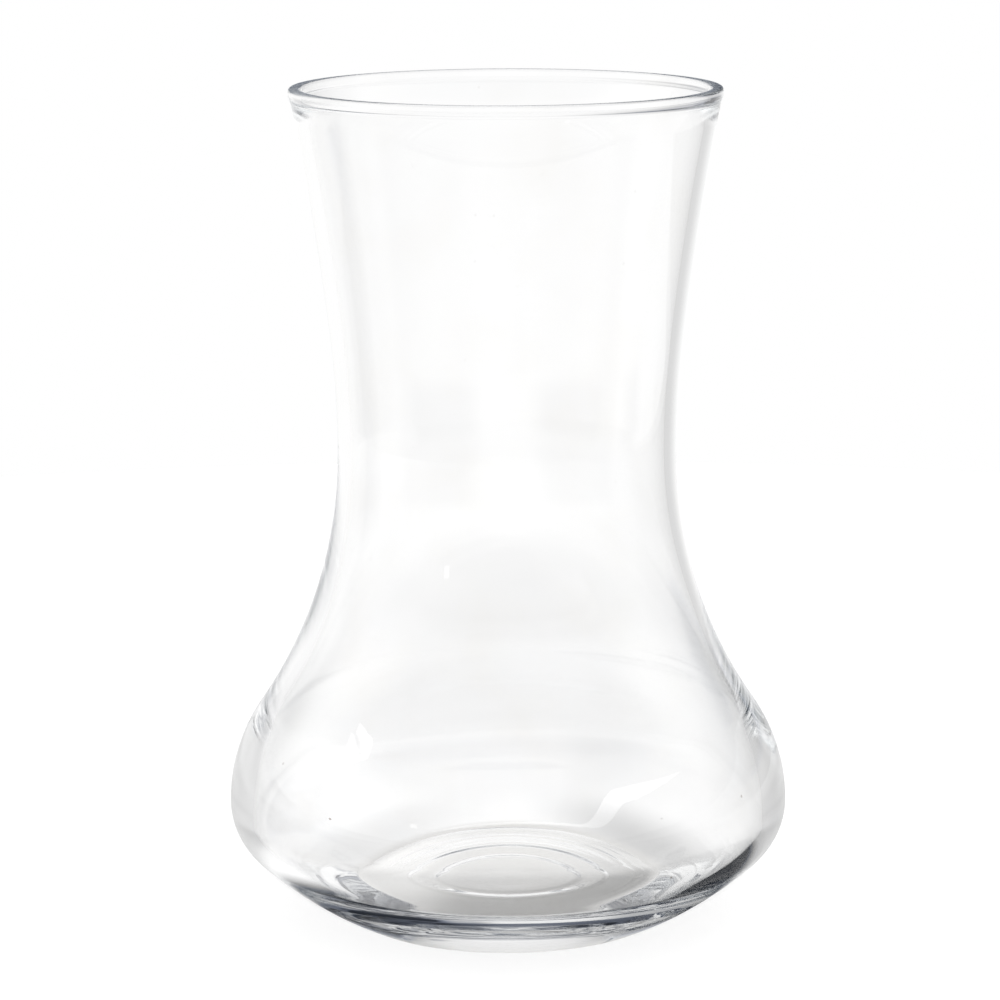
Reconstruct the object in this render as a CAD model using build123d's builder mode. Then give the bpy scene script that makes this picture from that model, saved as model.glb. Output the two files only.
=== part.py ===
from build123d import *
import os
from math import cos, radians, sin, sqrt

# Hyacinth forcing vase, blown in one piece of clear glass.
# Sizes are in millimetres. The origin is the middle of the foot, on the table, and +Z is up.

# Heights above the table
vase_height = 150.0
waist_height = 85.4
ogee_height = 38.4
belly_height = 21.3
chamber_height = 20.3

# Diameters over the outside of the glass
mouth_diameter = 76.8
waist_diameter = 60.5
belly_diameter = 100.6
foot_diameter = 56.2

# Outside curves: the sweep above the waist, and the turn from the belly to the underside
throat_sweep_radius = 172.0
throat_rise = 19.6
heel_radius = 12.2
heel_turn = 46.4

# Thickness of the glass
rim_wall = 2.1
waist_wall = 2.2
belly_wall = 4.1
floor_wall = 7.9

# Rim melted round: how far its bead stands proud of each face of the wall, and the blend under it
rim_bulge = 0.12
rim_blend = 1.2

# Flat middle of the floor, from which the inside curves up to the chamber's widest place
floor_flat_diameter = 53.0

# Underside: the ring that stands on the table, the step inside it, and the shallow push-up
foot_ring_width = 2.6
push_up_step = 2.0
push_up_rise = 0.3
push_up_crown = 0.45

mouth_radius = mouth_diameter / 2
waist_radius = waist_diameter / 2
belly_radius = belly_diameter / 2
foot_radius = foot_diameter / 2
bore_radius = waist_radius - waist_wall
chamber_radius = belly_radius - belly_wall
floor_flat_radius = floor_flat_diameter / 2
foot_ring_radius = foot_radius - foot_ring_width
push_up_radius = foot_ring_radius - push_up_step
throat_height = waist_height + throat_rise


def throat_top(neck_radius, sweep_radius):
    """Point where the sweep above the waist ends, and the direction it leaves in."""
    reach = sqrt(sweep_radius**2 - throat_rise**2)
    return (neck_radius + sweep_radius - reach, throat_height), (throat_rise, reach)


def ogee_middle(neck_radius, bulge_radius):
    """Point on the straight line from waist to belly where the two curves of the ogee meet."""
    share = (waist_height - ogee_height) / (waist_height - belly_height)
    return (neck_radius + share * (bulge_radius - neck_radius), ogee_height)


def heel_end():
    """Point where the tight turn below the belly ends, and the direction it leaves in."""
    turn = radians(heel_turn)
    point = (belly_radius - heel_radius * (1 - cos(turn)), belly_height - heel_radius * sin(turn))
    return point, (-sin(turn), -cos(turn))


def rim_bead():
    """Top of the round bead on the rim, and the points where it meets the wall outside and inside."""
    bead_radius = rim_wall / 2 + rim_bulge
    middle = mouth_radius - bead_radius
    height = vase_height - bead_radius - sqrt(bead_radius**2 - (rim_wall / 2) ** 2)
    return (middle, vase_height), (middle + rim_wall / 2, height), (middle - rim_wall / 2, height)


outer_throat, outer_flare = throat_top(waist_radius, throat_sweep_radius)
outer_ogee = ogee_middle(waist_radius, belly_radius)
outer_heel, underside = heel_end()
inner_throat, inner_flare = throat_top(bore_radius, throat_sweep_radius + waist_wall)
inner_ogee = ogee_middle(bore_radius, chamber_radius)
bead_top, outer_rim, inner_rim = rim_bead()

with BuildPart() as glass_vessel:
    with BuildSketch(Plane.XZ) as section:
        with BuildLine():
            # Rim: round bead over the top of the wall
            ThreePointArc(inner_rim, bead_top, outer_rim)
            # Outside: flare of the mouth, waist, ogee and belly
            TangentArc(outer_throat, outer_rim, tangent=outer_flare)
            TangentArc((waist_radius, waist_height), outer_throat, tangent=(0, 1))
            TangentArc((waist_radius, waist_height), outer_ogee, tangent=(0, -1))
            TangentArc((belly_radius, belly_height), outer_ogee, tangent=(0, 1))
            # Underneath: heel, underside, foot ring, step and push-up
            TangentArc((belly_radius, belly_height), outer_heel, tangent=(0, -1))
            TangentArc(outer_heel, (foot_radius, 0), tangent=underside)
            Line((foot_radius, 0), (foot_ring_radius, 0))
            Line((foot_ring_radius, 0), (push_up_radius, push_up_rise))
            TangentArc((0, push_up_crown), (push_up_radius, push_up_rise), tangent=(1, 0))
            Line((0, push_up_crown), (0, floor_wall))
            # Inside: flat floor, elliptical corner, chamber, waist and mouth
            Line((0, floor_wall), (floor_flat_radius, floor_wall))
            EllipticalCenterArc(
                (floor_flat_radius, chamber_height),
                chamber_radius - floor_flat_radius,
                chamber_height - floor_wall,
                start_angle=270,
                arc_size=90,
            )
            TangentArc((chamber_radius, chamber_height), inner_ogee, tangent=(0, 1))
            TangentArc((bore_radius, waist_height), inner_ogee, tangent=(0, -1))
            TangentArc((bore_radius, waist_height), inner_throat, tangent=(0, 1))
            TangentArc(inner_throat, inner_rim, tangent=inner_flare)
        make_face()
        fillet(section.vertices().group_by(Axis.Y)[-1], radius=rim_blend)
    revolve(axis=Axis.Z)

glass_vessel.part.label = "glass_vessel"
os.makedirs("parts", exist_ok=True)
export_step(glass_vessel.part, "parts/glass_vessel.step")
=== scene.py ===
from math import atan2, cos, exp, hypot, pi, radians, sin, sqrt, tau

import bpy
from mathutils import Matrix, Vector


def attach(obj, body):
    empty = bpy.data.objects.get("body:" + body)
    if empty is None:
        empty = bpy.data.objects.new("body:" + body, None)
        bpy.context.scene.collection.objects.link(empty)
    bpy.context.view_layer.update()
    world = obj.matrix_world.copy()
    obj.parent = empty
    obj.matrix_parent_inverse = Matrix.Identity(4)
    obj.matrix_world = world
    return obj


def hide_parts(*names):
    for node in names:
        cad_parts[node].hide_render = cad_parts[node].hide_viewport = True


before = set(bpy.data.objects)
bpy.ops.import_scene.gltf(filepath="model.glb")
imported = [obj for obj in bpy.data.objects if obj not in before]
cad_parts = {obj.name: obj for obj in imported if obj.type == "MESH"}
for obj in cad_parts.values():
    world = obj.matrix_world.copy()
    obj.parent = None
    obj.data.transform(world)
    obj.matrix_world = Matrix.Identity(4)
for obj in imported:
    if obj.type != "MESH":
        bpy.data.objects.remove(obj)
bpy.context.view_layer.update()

# Lengths below are millimetres, as on a glassmaker's drawing, and MM turns them into scene metres
MM = 0.001
WHITE = (1, 1, 1, 1)

# Heights above the table
vase_height = 150.0
waist_height = 85.4
ogee_height = 38.4
belly_height = 21.3
chamber_height = 20.3

# Radii over the outside of the glass
mouth_radius = 38.4
waist_radius = 30.25
belly_radius = 50.3
foot_radius = 28.1

# Outside curves
throat_sweep_radius = 172.0
throat_rise = 19.6
heel_radius = 12.2
heel_turn = radians(46.4)

# Thickness of the glass, its fire-polished rim and its flat floor
rim_wall = 2.1
rim_bulge = 0.12
rim_squareness = 0.45
rim_turn_step = 8
below_rim_depth = 2.9
below_rim_waist = 0.42
below_rim_ease = 0.03
waist_wall = 2.2
belly_wall = 4.1
floor_wall = 7.9
floor_flat_radius = 23.0

# How the edge of the blown floor's flat wanders: nearer at the back than at the front
floor_lean = 5.0
floor_pinch = 1.5

# Foot: the ring that the vase stands on, the step inside it and the shallow push-up
foot_ring_width = 2.6
push_up_crown = 0.45
crown_radius = 11.5

# Mould marks under the floor: radius, width and height of each step up, and of each fine ring
mould_steps = (
    (21.75, 7.5, 0.20),
    (18.1, 1.2, 0.26),
    (15.6, 3.6, -0.17),
    (13.0, 1.0, 0.22),
    (9.0, 6.0, -0.10),
)
sharp_step_width = 2.0
mould_rings = ((23.4, 0.35, 0.02), (21.3, 0.5, 0.012), (19.9, 0.5, 0.012))
edge_rings = ((25.2, 0.35, 0.03), (23.2, 0.35, 0.03))

# Fineness of the blown mesh: steps round the vase, and the longest steps along its section
steps_round = 320
step_along = 1.4
step_neck = 3.2
step_floor = 4.0
step_under = 0.6
step_under_marks = 0.25
corner_steps = 40

# Ripples that tools leave in the heel: their height, their two lengths, and where they are strongest
heel_ripple_height = 0.005
drawn_ripple_length = 3.1
fine_ripple_length = 1.7
ripple_middle = 8.0
ripple_spread = 5.0

# How far the bubble sits off the middle between waist and belly, which thickens one side of the glass
bubble_drift = 0.5
bubble_middle = 52.0
bubble_spread = 16.0

# Clear soda glass: how it bends light and what its body takes up, the film on its skin and specks of dust
glass_ior = 1.51
glass_tint = (0.87, 0.91, 0.93, 1)
glass_depth = 1.5
film_tint = (0.985, 0.982, 0.975, 1)
dust_colour = (0.20, 0.14, 0.10, 1)
skin_wave_height = 0.00001
light_turns = 256

# Studio: the table's reach in metres, its paint and lift to white, tints, and the light on plain surfaces.
# What table and room show to the glass differs by kind of ray, to draw the photo's bands of light
table_reach = 0.46
table_paint = (0.45, 0.449, 0.447, 1)
table_gap = 0.05
table_sides = 128
# Colours of the table's painted shade as the glass shows it: warm under the foot, blue in the painted
# shadow before the vase
foot_tint = (1, 0.99, 0.97, 1)
shade_tint = (0.82, 0.95, 1.2, 1)
gloom_tint = (0.82, 0.93, 1.22, 1)
table_lift = 0.48
table_sun_power = 9.0
table_sun_spread = radians(8)
table_sun_aim = (0, 0.724, -0.203)
fill_level = 0.75
flag_depth = 0.5
flag_off_skin = 0.6

# Curved lamp low in front of the vase: its distance from the middle, and its glow
lamp_reach = 80.0
lamp_glow = 3.4
lamp_start = -24
lamp_end = 60

# Camera of the photo: its place in metres, how far it looks down and leans, and its lens in picture widths
camera_place = (-0.00078, -0.7241, 0.2133)
camera_pitch = radians(10.747)
camera_lean = radians(0.2)
lens_widths = 4.109
sensor_width = 36.0


class Value:
    """A shader socket that takes part in Python sums, each of which adds one Math node."""

    def __init__(self, paint, socket):
        self.paint = paint
        self.socket = socket

    def _sum(self, operation, first, second):
        return self.paint.node("ShaderNodeMath", {"operation": operation}, {0: first, 1: second})

    def __add__(self, other):
        return self._sum("ADD", self, other)

    def __sub__(self, other):
        return self._sum("SUBTRACT", self, other)

    def __rsub__(self, other):
        return self._sum("SUBTRACT", other, self)

    def __mul__(self, other):
        return self._sum("MULTIPLY", self, other)

    def __truediv__(self, other):
        return self._sum("DIVIDE", self, other)

    __radd__ = __add__
    __rmul__ = __mul__


class Paint:
    """Nodes of one material or world. node() makes any node from its type, settings and socket values."""

    def __init__(self, owner):
        owner.use_nodes = True
        self.tree = owner.node_tree
        self.tree.nodes.clear()

    def node(self, kind, settings=None, sockets=None, output=0):
        made = self.tree.nodes.new(kind)
        for name, value in (settings or {}).items():
            setattr(made, name, value)
        for name, value in (sockets or {}).items():
            if isinstance(value, Value):
                self.tree.links.new(value.socket, made.inputs[name])
            else:
                made.inputs[name].default_value = value
        return Value(self, made.outputs[output]) if made.outputs else None

    def maths(self, operation, first, second=0.0):
        return self.node("ShaderNodeMath", {"operation": operation}, {0: first, 1: second})

    def rise(self, value, low, high):
        """0 below low, 1 above high, with a soft step between."""
        settings = {"interpolation_type": "SMOOTHSTEP"}
        return self.node("ShaderNodeMapRange", settings, {0: value, 1: low, 2: high})

    def band(self, value, low, high, fade, end):
        """1 from high to fade, with soft steps from low and to end."""
        return self.rise(value, low, high) * (1 - self.rise(value, fade, end))

    def axes(self, vector):
        """The three parts of a vector."""
        split = self.node("ShaderNodeSeparateXYZ", None, {0: vector}).socket.node
        return [Value(self, part) for part in split.outputs]

    def ray(self, name):
        return self.node("ShaderNodeLightPath", output=name)

    def mix(self, share, first, second):
        """A colour between first and second."""
        sockets = {0: share, 6: first, 7: second}
        return self.node("ShaderNodeMix", {"data_type": "RGBA"}, sockets, 2)

    def shade(self, colour, level):
        """A colour made brighter or darker by level."""
        return self.node("ShaderNodeVectorMath", {"operation": "SCALE"}, {0: colour, "Scale": level})


def new_material(name):
    material = bpy.data.materials.new(name)
    return material, Paint(material)


def arc(start, end, tangent, step):
    """Points after start on the arc that leaves start along tangent and ends at end."""
    lean = hypot(*tangent)
    along = (tangent[0] / lean, tangent[1] / lean)
    chord = (end[0] - start[0], end[1] - start[1])
    across = along[0] * chord[1] - along[1] * chord[0]
    forward = along[0] * chord[0] + along[1] * chord[1]
    half = atan2(across, forward)
    radius = hypot(*chord) / (2 * sin(half))
    centre = (start[0] - along[1] * radius, start[1] + along[0] * radius)
    spoke = (start[0] - centre[0], start[1] - centre[1])
    count = max(4, round(abs(2 * half * radius) / step))
    points = []
    for i in range(1, count + 1):
        turn = 2 * half * i / count
        points.append((
            centre[0] + spoke[0] * cos(turn) - spoke[1] * sin(turn),
            centre[1] + spoke[0] * sin(turn) + spoke[1] * cos(turn),
        ))
    return points


def from_far_end(start, end, tangent, step):
    """The arc from start to end, given the tangent with which it leaves its far end."""
    return arc(end, start, tangent, step)[-2::-1] + [end]


def throat_top(neck_radius, sweep_radius):
    reach = sqrt(sweep_radius**2 - throat_rise**2)
    return (neck_radius + sweep_radius - reach, waist_height + throat_rise), (throat_rise, reach)


def ogee_middle(neck_radius, bulge_radius):
    share = (waist_height - ogee_height) / (waist_height - belly_height)
    return (neck_radius + share * (bulge_radius - neck_radius), ogee_height)


def halfway(first, second):
    return ((first[0] + second[0]) / 2, (first[1] + second[1]) / 2)


def swell(distance, width):
    """A smooth bump, 1 in its middle, that dies away over width."""
    return exp(-(distance / width) ** 2)


def under_floor(radius, turn):
    """Height of the underside inside the foot ring: steps of the push-up and fine mould rings."""
    height = 0.0
    back = 0.5 + 0.5 * sin(turn)
    right = max(0.0, cos(turn + 0.3))
    for middle, width, tall in mould_steps:
        climb = min(1.0, max(0.0, 0.5 + (middle - radius) / width))
        if width < sharp_step_width:
            height += tall * (climb * back + (1 - back) * climb * climb * (3 - 2 * climb))
        else:
            height += tall * climb * climb * (3 - 2 * climb)
    for middle, width, tall in mould_rings:
        height += tall * back * swell(radius - middle, width)
    for middle, width, tall in edge_rings:
        height += tall * right * swell(radius - middle, width)
    crown = push_up_crown - sum(tall for _, _, tall in mould_steps)
    if radius < crown_radius:
        height += crown * (1 - (radius / crown_radius) ** 2)
    return height


def rim_point(middle, bead, turn):
    """A point of the fire-polished rim, whose top is flatter than a round bead."""
    if sin(turn) < 0:
        return (middle + bead * cos(turn), vase_height - bead + bead * sin(turn))
    side = 1 if cos(turn) > 0 else -1
    out = side * bead * abs(cos(turn)) ** rim_squareness
    return (middle + out, vase_height - bead + bead * sin(turn) ** rim_squareness)


def outside_section():
    """Outside of the glass from the top of the rim down to the middle of the underside."""
    throat, flare = throat_top(waist_radius, throat_sweep_radius)
    ogee = ogee_middle(waist_radius, belly_radius)
    heel = (
        belly_radius - heel_radius * (1 - cos(heel_turn)),
        belly_height - heel_radius * sin(heel_turn),
    )
    waist = (waist_radius, waist_height)
    belly = (belly_radius, belly_height)
    bead = rim_wall / 2 + rim_bulge
    middle = mouth_radius - bead
    points = []
    for degrees in range(90, -31, -rim_turn_step):
        points.append(rim_point(middle, bead, radians(degrees)))
    below_bead = (mouth_radius - rim_bulge - below_rim_waist, vase_height - below_rim_depth)
    across, up = halfway(points[-1], below_bead)
    points.append((across - below_rim_ease, up))
    points.append(below_bead)
    points += from_far_end(below_bead, throat, flare, step_neck)
    points += from_far_end(throat, waist, (0, 1), step_neck)
    points += arc(waist, ogee, (0, -1), step_neck)
    points += from_far_end(ogee, belly, (0, 1), step_along)
    points += arc(belly, heel, (0, -1), step_along * 0.5)
    points += arc(heel, (foot_radius, 0), (-sin(heel_turn), -cos(heel_turn)), step_along * 0.5)
    ring = foot_radius - foot_ring_width
    points += [(foot_radius - foot_ring_width * s, 0) for s in (0.2, 0.4, 0.6, 0.8, 1.0)]
    radius = ring
    while radius > 0.5:
        on_marks = radius > 17 or 12 < radius < 14
        radius -= step_under_marks if on_marks else step_under
        points.append((radius, under_floor(radius, 0)))
    points.append((0, under_floor(0, 0)))
    return points


def floor_wander(turn):
    """How far the edge of the floor's flat stands out from a true circle."""
    return -floor_lean * sin(turn) - floor_pinch * sin(turn) ** 2


def heel_ripple(along, turn):
    """How far the skin of the heel stands proud, round the vase and along its section."""
    drawn = sin(tau * along / drawn_ripple_length + 1.6 * sin(2 * turn + 0.4) + 0.9 * sin(5 * turn + 2.0))
    fine = sin(tau * along / fine_ripple_length + 2.2 * sin(3 * turn + 1.1) + 0.7 * sin(7 * turn))
    return heel_ripple_height * (drawn + 0.3 * fine)


def inside_section():
    """Inside of the glass from the middle of the floor up to the rim."""
    bore = waist_radius - waist_wall
    chamber = belly_radius - belly_wall
    throat, flare = throat_top(bore, throat_sweep_radius + waist_wall)
    ogee = ogee_middle(bore, chamber)
    belly = (chamber, chamber_height)
    waist = (bore, waist_height)
    bead = rim_wall / 2 + rim_bulge
    middle = mouth_radius - bead
    count = round(floor_flat_radius / step_floor)
    points = [(floor_flat_radius * i / count, floor_wall) for i in range(count + 1)]
    wide = chamber - floor_flat_radius
    tall = chamber_height - floor_wall
    for i in range(1, corner_steps + 1):
        turn = pi / 2 * i / corner_steps
        points.append((floor_flat_radius + wide * sin(turn), chamber_height - tall * cos(turn)))
    points += arc(belly, ogee, (0, 1), step_along)
    points += from_far_end(ogee, waist, (0, -1), step_neck)
    points += arc(waist, throat, (0, 1), step_neck)
    below_bead = (
        mouth_radius - rim_wall - rim_bulge - below_rim_waist,
        vase_height - below_rim_depth,
    )
    points += arc(throat, below_bead, flare, step_neck)
    turned = []
    for degrees in range(90 + rim_turn_step, 211, rim_turn_step):
        turned.append(rim_point(middle, bead, radians(degrees)))
    across, up = halfway(turned[-1], below_bead)
    points.append((across + below_rim_ease, up))
    return points + turned[::-1]


def blow_glass():
    """The vase as one closed skin of glass, turned from its section."""
    outside = outside_section()
    inside = inside_section()
    verts = []
    faces = []
    rings = []

    def lay_ring(
        radius, height, right=0.0, wander=0.0, rippled=0.0, along=0.0, lean=(0, 0), under=False,
    ):
        first = len(verts)
        for i in range(steps_round):
            turn = tau * i / steps_round
            push = rippled * heel_ripple(along, turn) if rippled else 0.0
            out = radius + push * lean[0] + wander * floor_wander(turn)
            x = out * cos(turn) + right
            y = out * sin(turn)
            level = under_floor(radius, turn) if under else height + push * lean[1]
            verts.append((x * MM, y * MM, level * MM))
        rings.append(list(range(first, first + steps_round)))

    def join(upper, lower):
        for i in range(steps_round):
            j = (i + 1) % steps_round
            faces.append((upper[i], upper[j], lower[j], lower[i]))

    along = 0.0
    for last, (radius, height), after in zip([outside[0]] + outside, outside[:-1], outside[1:]):
        along += hypot(radius - last[0], height - last[1])
        run = hypot(after[0] - last[0], after[1] - last[1])
        lean = ((last[1] - after[1]) / run, (after[0] - last[0]) / run)
        on_heel = radius > foot_radius and height < belly_height
        rippled = swell(height - ripple_middle, ripple_spread) * min(1.0, height / 2) if on_heel else 0.0
        under = radius < foot_radius - foot_ring_width and height < belly_height
        lay_ring(radius, height, rippled=rippled, along=along, lean=lean, under=under)
    outer_count = len(rings)
    for radius, height in inside[1:]:
        right = bubble_drift * swell(height - bubble_middle, bubble_spread)
        wander = 0.0
        if radius <= floor_flat_radius:
            wander = radius / floor_flat_radius
        elif height < chamber_height:
            low = (chamber_height - height) / (chamber_height - floor_wall)
            wander = 1 - sqrt(1 - low**2)
        lay_ring(radius, height, right, wander)
    for upper, lower in zip(rings[:outer_count - 1], rings[1:outer_count]):
        join(lower, upper)
    for lower, upper in zip(rings[outer_count:-1], rings[outer_count + 1:]):
        join(upper, lower)
    join(rings[0], rings[-1])
    under = len(verts)
    verts.append((0, 0, outside[-1][1] * MM))
    floor = len(verts)
    verts.append((0, 0, floor_wall * MM))
    for i in range(steps_round):
        j = (i + 1) % steps_round
        faces.append((rings[outer_count - 1][j], rings[outer_count - 1][i], under))
        faces.append((rings[outer_count][i], rings[outer_count][j], floor))
    mesh = bpy.data.meshes.new("blown_glass")
    mesh.from_pydata(verts, [], faces)
    mesh.validate()
    mesh.shade_smooth()
    vase = bpy.data.objects.new("blown_glass", mesh)
    bpy.context.scene.collection.objects.link(vase)
    return vase


def clear_glass():
    """Clear glass with a faint film, a few specks of dust and the slow waves of a blown skin."""
    material, paint = new_material("clear_glass")
    place = paint.node("ShaderNodeTexCoord", output="Object")
    cloud = paint.node("ShaderNodeTexNoise", None, {"Vector": place, "Scale": 70.0, "Detail": 4.0})
    film = paint.mix(paint.rise(cloud, 0.45, 0.75), WHITE, film_tint)
    grain = paint.node("ShaderNodeTexVoronoi", None, {"Vector": place, "Scale": 100.0})
    height = paint.axes(place)[2]
    speck = paint.rise(grain, 0.034, 0.022) * (1 - 0.9 * paint.rise(height, 0.012, 0.05))
    colour = paint.mix(speck, film, dust_colour)
    wave = paint.node("ShaderNodeTexNoise", None, {"Vector": place, "Scale": 45.0, "Detail": 1.0})
    skin = paint.node("ShaderNodeBump", None, {
        "Strength": 1.0,
        "Distance": skin_wave_height,
        "Height": wave,
    })
    surface = paint.node("ShaderNodeBsdfPrincipled", None, {
        "Base Color": colour,
        "Roughness": 0.0,
        "IOR": glass_ior,
        "Transmission Weight": 1.0,
        "Normal": skin,
    })
    body = paint.node("ShaderNodeVolumeAbsorption", None, {"Color": glass_tint, "Density": glass_depth})
    paint.node("ShaderNodeOutputMaterial", None, {"Surface": surface, "Volume": body})
    return material


def flags(paint, turn):
    """Upright grey boards far round the sides and front, which draw the edges of the glass."""
    both = paint.maths("ABSOLUTE", turn)
    boards = paint.band(both, 98, 110, 148, 168) + paint.band(turn, -84, -78, -66, -60)
    return flag_depth * boards * (1 - (1 - flag_off_skin) * paint.ray("Is Reflection Ray"))


def table_in_glass(paint):
    """How bright the table looks through or off the glass, all of it painted light and painted shade: pale
    behind, a painted shadow under and before the vase.

    Distances are metres from the middle of the foot.
    """
    place = paint.node("ShaderNodeNewGeometry")
    far = paint.node("ShaderNodeVectorMath", {"operation": "LENGTH"}, {0: place}, "Value")
    across, back, _ = paint.axes(place)
    right = paint.maths("MAXIMUM", across, 0.0)
    left = paint.maths("MAXIMUM", 0 - across, 0.0)
    to_light = 0.97 * back - 0.30 * right - 0.2 * left
    cloud = paint.node("ShaderNodeTexNoise", None, {"Vector": place, "Scale": 9.0, "Detail": 2.0})
    slant = paint.maths("MAXIMUM", paint.maths("MINIMUM", across, 0.02), -0.02)
    reach = far - 1.5 * slant + 0.10 * (cloud - 0.5)
    out = far - 0.5 * right + 0.25 * left
    through = paint.rise(paint.ray("Transmission Depth"), 2.4, 3.6)
    # Painted shadow of the vase before it and to its right, shown only to rays that crossed fewer than
    # three skins of glass
    shade = (1 - paint.rise(to_light, -0.017, -0.002)) * (1 - paint.rise(out, 0.050, 0.068))
    shade = shade * (1 - through)
    # Painted reflection: a pale ring just before the foot, shown only to reflected rays
    by_foot = (1 - paint.rise(far, 0.0325, 0.0345)) * (1 - paint.rise(right + left, 0.012, 0.020))
    shade = shade * (1 - 0.7 * by_foot * paint.ray("Is Reflection Ray"))
    # Painted shade: darker bands at the sides, near the foot, far off and towards the boards
    sides = 0.24 * paint.rise(across, 0.045, 0.10) + 0.22 * paint.rise(0 - across, 0.045, 0.10)
    sides = sides * (1 - paint.rise(far, 0.19, 0.30))
    sides = sides + 0.08 * paint.rise(across, 0.008, 0.020) * (1 - paint.rise(far, 0.09, 0.18))
    near = 0.42 * paint.rise(across, 0, 0.025) + 0.27 * paint.rise(0 - across, 0, 0.03)
    near = near * (1 - paint.rise(far, 0.034, 0.050))
    away = 0.14 * paint.rise(far, 0.06, 0.24)
    turn = paint.maths("DEGREES", paint.maths("ARCTAN2", across, back))
    away = away + flags(paint, turn) * paint.rise(far, 0.22, 0.40)
    lit = 1.08 - away + 0.07 * paint.rise(reach, 0.24, 0.38) - near - sides
    # Painted shade just behind the vase, for rays that crossed few skins of glass
    behind = paint.rise(back, 0, 0.02) * (1 - paint.rise(far, 0.10, 0.16))
    lit = lit * (1 - 0.3 * (1 - through) * behind)
    outside = lit - (lit - 0.02) * shade
    # Painted light under the foot: paler at the back and left, darker at the front right
    under = 0.36 + 0.42 * paint.rise(back, -0.003, 0.014) + 0.27 * paint.rise(0 - across, 0.007, 0.019)
    under = under + (0.70 - under) * paint.rise(far, 0.0255, 0.0280)
    foot = 1 - paint.rise(far, 0.0280, 0.0320)
    level = outside + (under - outside) * foot
    # Tints of the painted shade: warm under the foot, blue where the painted shadow is deep
    tint = paint.mix(foot, WHITE, foot_tint)
    tint = paint.mix(paint.rise(shade, 0.7, 1) * (1 - foot), tint, shade_tint)
    return paint.shade(tint, level)


def white_table():
    """Round white table top, which keeps the vase's real shadow for the camera and shows the glass a
    painted shade and painted light.
    """
    material, paint = new_material("white_table")
    diffuse = paint.node("ShaderNodeBsdfDiffuse", None, {"Color": table_paint})
    lift = paint.node("ShaderNodeEmission", None, {
        "Color": paint.shade((1, 1, 1), table_lift * paint.ray("Is Camera Ray"))})
    plain = paint.node("ShaderNodeAddShader", None, {0: diffuse, 1: lift})
    # What the glass sees of the table is this painted light and painted shade, not the lit table
    shown = paint.node("ShaderNodeEmission", None, {"Color": table_in_glass(paint)})
    by_glass = paint.maths("MAXIMUM", paint.ray("Is Glossy Ray"), paint.ray("Is Transmission Ray"))
    both = paint.node("ShaderNodeMixShader", None, {0: by_glass, 1: plain, 2: shown})
    paint.node("ShaderNodeOutputMaterial", None, {"Surface": both})
    verts = []
    for i in range(table_sides):
        turn = tau * i / table_sides
        verts.append((table_reach * cos(turn), table_reach * sin(turn), -table_gap * MM))
    mesh = bpy.data.meshes.new("table")
    mesh.from_pydata(verts, [], [tuple(range(table_sides))])
    table = bpy.data.objects.new("table", mesh)
    bpy.context.scene.collection.objects.link(table)
    mesh.materials.append(material)


def soft_step(value, low, high):
    """0 below low, 1 above high, with a soft step between."""
    share = min(1.0, max(0.0, (value - low) / (high - low)))
    return share * share * (3 - 2 * share)


def bent_lamp():
    """A curved lamp round the front that shows only off the skin of the glass: a thin foot and a wide arm.

    Its edges are heights in millimetres, one pair for each degree round the front.
    """
    material, paint = new_material("lamp_glow")
    clear = paint.node("ShaderNodeBsdfTransparent")
    glow = paint.node("ShaderNodeEmission", None, {"Color": WHITE, "Strength": lamp_glow})
    off_skin = paint.ray("Is Reflection Ray")
    shown = paint.node("ShaderNodeMixShader", None, {0: off_skin, 1: clear, 2: glow})
    paint.node("ShaderNodeOutputMaterial", None, {"Surface": shown})
    verts = []
    for degrees in range(lamp_start, lamp_end + 1):
        climb = soft_step(degrees, 20, 35)
        foot = 38.2 - 0.0112 * (degrees - 3) ** 2
        arm = 49.3 + 0.2 * (degrees - 35)
        middle = foot + (arm - foot) * climb
        half = 0.75 * soft_step(degrees, lamp_start, -10) + 6.0 * soft_step(degrees, 20.5, 30)
        half -= 2.0 * soft_step(degrees, 31, 36) + 4.7 * soft_step(degrees, 36, 62)
        turn = radians(degrees)
        for height in (middle - half, middle + half):
            verts.append((lamp_reach * sin(turn) * MM, -lamp_reach * cos(turn) * MM, height * MM))
    faces = [(i, i + 1, i + 3, i + 2) for i in range(0, len(verts) - 2, 2)]
    mesh = bpy.data.meshes.new("bent_lamp")
    mesh.from_pydata(verts, [], faces)
    mesh.materials.append(material)
    strip = bpy.data.objects.new("bent_lamp", mesh)
    strip.visible_camera = False
    strip.visible_diffuse = False
    strip.visible_shadow = False
    bpy.context.scene.collection.objects.link(strip)


def far_lamps(paint, turn, climb):
    """Glow, off the skin of the glass, of two slanted tubes high on the left and a small lamp in front."""
    along = (6.2 * (climb - 34.6) - 9.0 * (turn + 90)) / 119
    apart = (9.0 * (climb - 34.6) + 6.2 * (turn + 90)) / 10.9
    upper = paint.band(apart, -1.3, -0.8, 0.8, 1.3) * paint.band(along, -0.05, 0.15, 0.85, 1.05)
    lower = paint.band(apart, -4.1, -3.6, -2.1, -1.6) * paint.band(along, 0.2, 0.4, 1.1, 1.3)
    front = paint.band(turn, -143, -142, -140, -139) * paint.band(climb, 8.2, 9, 10.8, 11.6)
    return (4.5 * (upper + lower) + 2.2 * front) * paint.ray("Is Reflection Ray")


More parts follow.
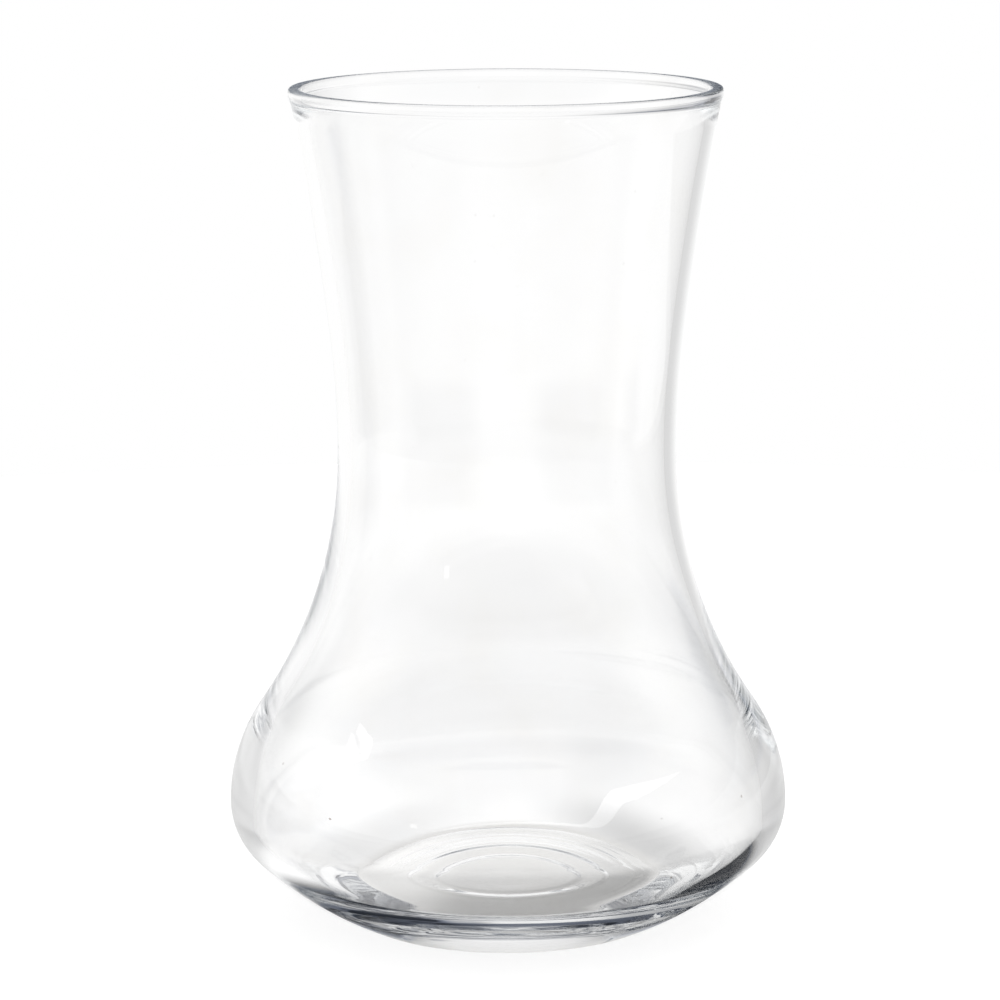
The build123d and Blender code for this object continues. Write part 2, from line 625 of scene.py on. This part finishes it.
def studio_room():
    """White studio. Angles are in degrees: 0 is straight behind the vase, 90 is its right.

    The sky is darker for rays that crossed two skins of the glass, and behind the vase for reflected rays.
    """
    world = bpy.data.worlds.new("studio")
    bpy.context.scene.world = world
    paint = Paint(world)
    across, back, up = paint.axes(paint.node("ShaderNodeTexCoord"))
    turn = paint.maths("DEGREES", paint.maths("ARCTAN2", across, back))
    climb = paint.maths("DEGREES", paint.maths("ARCSINE", up))
    right_gap = 0.30 * paint.band(turn, 8, 30, 76, 94) * (1 - 0.7 * paint.rise(climb, 10, 16))
    right_gap = right_gap + 0.48 * paint.band(turn, 1, 7, 50, 62) * paint.band(climb, -1, 4, 36, 42)
    right_gap = right_gap + 0.60 * paint.band(turn, 10, 17, 38, 46) * paint.band(climb, 3, 7, 32, 38)
    left_gap = paint.band(turn, -66, -50, -28, -14) * paint.rise(climb, 0, 9)
    left_gap = left_gap * (0.40 - 0.20 * paint.rise(climb, 24, 32))
    window = 0.25 * paint.band(turn, -140, -110, -82, -62) * (1 - paint.rise(climb, 16, 28))
    before = paint.rise(paint.maths("ABSOLUTE", turn), 95, 125)
    before = before * (0.15 - 0.30 * paint.rise(climb, 8, 16) - 0.35 * paint.rise(climb, 14, 22))
    before = before * (1 - paint.rise(climb, 66, 76))
    right_side = paint.rise(turn, 15, 40)
    left_side = 1 - paint.rise(turn, -60, -30)
    ceiling = 0.55 * paint.rise(climb, 26, 45) * right_side + 0.4 * paint.rise(climb, 24, 40) * left_side
    ceiling = ceiling + 0.40 * paint.band(turn, 60, 85, 120, 150) * paint.rise(climb, 44, 52)
    panel = 0.7 * paint.band(turn, -14, -9, 9, 14) * paint.band(climb, 54.5, 56, 64, 68)
    level = 1 - right_gap - left_gap + window + before - ceiling - panel
    level = level - flags(paint, turn) * (1 - paint.rise(climb, -6, -3))
    level = paint.maths("MAXIMUM", level, 0.03)
    trapped = paint.band(paint.ray("Transmission Depth"), 1.4, 1.6, 2.4, 2.6) * paint.rise(climb, 18, 30)
    trapped = trapped * (1 - paint.rise(paint.maths("ABSOLUTE", turn), 120, 140))
    trapped = trapped * (1 - paint.rise(climb, 60, 68))
    level = level * (1 - 0.8 * trapped)
    behind = paint.band(turn, -40, -15, 50, 90) * paint.rise(climb, 1, 5)
    level = level * (1 - 0.85 * behind * paint.ray("Is Reflection Ray"))
    level = level + far_lamps(paint, turn, climb)
    level = level + (1 - level) * paint.ray("Is Camera Ray")
    level = level + (fill_level - level) * paint.ray("Is Diffuse Ray")
    tint = paint.mix(paint.rise(level, 0, 0.7), gloom_tint, WHITE)
    light = paint.node("ShaderNodeBackground", None, {"Color": paint.shade(tint, level)})
    paint.node("ShaderNodeOutputWorld", None, {"Surface": light})


def table_sun():
    """Soft light from the front that only the table takes up, so that the vase shades it."""
    lamp = bpy.data.lights.new("table_sun", "SUN")
    lamp.energy = table_sun_power
    lamp.angle = table_sun_spread
    sun = bpy.data.objects.new("table_sun", lamp)
    sun.rotation_euler = Vector(table_sun_aim).to_track_quat("-Z", "Y").to_euler()
    sun.visible_camera = False
    sun.visible_glossy = False
    sun.visible_transmission = False
    bpy.context.scene.collection.objects.link(sun)


def photo_camera():
    """The camera that sees the vase as the photo does."""
    lens = bpy.data.cameras.new("camera")
    lens.sensor_width = sensor_width
    lens.lens = sensor_width * lens_widths
    lens.clip_end = 50.0
    camera = bpy.data.objects.new("camera", lens)
    camera.location = camera_place
    camera.rotation_euler = (pi / 2 - camera_pitch, camera_lean, 0)
    bpy.context.scene.collection.objects.link(camera)
    bpy.context.scene.camera = camera


vase = blow_glass()
vase.data.materials.append(clear_glass())
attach(vase, "root")
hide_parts("glass_vessel")
white_table()
studio_room()
bent_lamp()
table_sun()
photo_camera()
bpy.context.scene.view_settings.view_transform = "Standard"

# Light turns inside thick glass many times before it leaves
bpy.context.scene.cycles.max_bounces = light_turns
bpy.context.scene.cycles.glossy_bounces = light_turns
bpy.context.scene.cycles.transmission_bounces = light_turns
